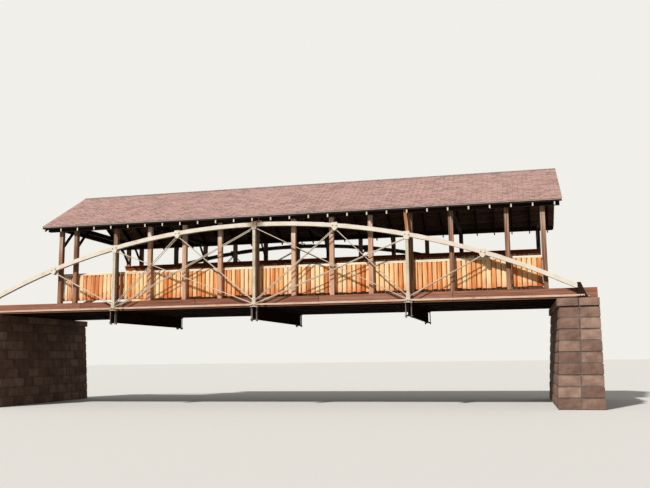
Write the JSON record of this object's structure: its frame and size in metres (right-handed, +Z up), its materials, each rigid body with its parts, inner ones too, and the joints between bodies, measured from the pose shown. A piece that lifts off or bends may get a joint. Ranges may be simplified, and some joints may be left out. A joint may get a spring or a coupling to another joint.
{
  "type": "covered bridge",
  "caption": "Timber covered walkway with a shingled gable roof and board railings, carried over a river between two iron bowstring arch trusses on stone abutments.",
  "frame": {"origin": "on the ground under the middle of the span, at the bottom centre of the whole bridge", "axes": "+X along the bridge, +Y across it from the front truss to the rear truss, +Z up"},
  "size_m": [20.3, 6.1, 7.4694],
  "materials": {
    "arch_iron": "weathered pale grey",
    "dark_iron": "dull, dark and rusted",
    "post_timber": "weathered grey-brown, rough sawn",
    "red_boards": "orange-red, rough sawn",
    "floor_timber": "weathered brown, rough sawn",
    "shingles": "brown-red mineral granules",
    "masonry": "coursed brown stone"
  },
  "bodies": {
    "root": {"left_abutment": "masonry", "right_abutment": "masonry", "front_heel_shoes": "dark_iron", "rear_heel_shoes": "dark_iron", "front_arch": "arch_iron", "rear_arch": "arch_iron", "front_tie_bars": "arch_iron", "rear_tie_bars": "arch_iron", "front_foot_castings": "arch_iron", "rear_foot_castings": "arch_iron", "front_iron_posts": "arch_iron", "rear_iron_posts": "arch_iron", "front_arch_clips": "arch_iron", "rear_arch_clips": "arch_iron", "front_rods_left": "arch_iron", "front_rods_right": "arch_iron", "rear_rods_left": "arch_iron", "rear_rods_right": "arch_iron", "floor_beam_left": "dark_iron", "floor_beam_middle": "dark_iron", "floor_beam_right": "dark_iron", "front_hangers": "arch_iron", "rear_hangers": "arch_iron", "stringers": "floor_timber", "deck": "floor_timber", "front_fascia": "floor_timber", "rear_fascia": "floor_timber", "front_railing_boards": "red_boards", "rear_railing_boards": "red_boards", "front_hand_rail": "post_timber", "rear_hand_rail": "post_timber", "front_roof_posts": "post_timber", "rear_roof_posts": "post_timber", "front_plate": "post_timber", "rear_plate": "post_timber", "tie_beams": "post_timber", "front_knee_braces": "post_timber", "rear_knee_braces": "post_timber", "front_rafters": "post_timber", "rear_rafters": "post_timber", "eave_strut": "red_boards", "ridge_board": "post_timber", "front_roof_boards": "post_timber", "rear_roof_boards": "post_timber", "front_shingles": "shingles", "rear_shingles": "shingles"}
  },
  "joints": []
}
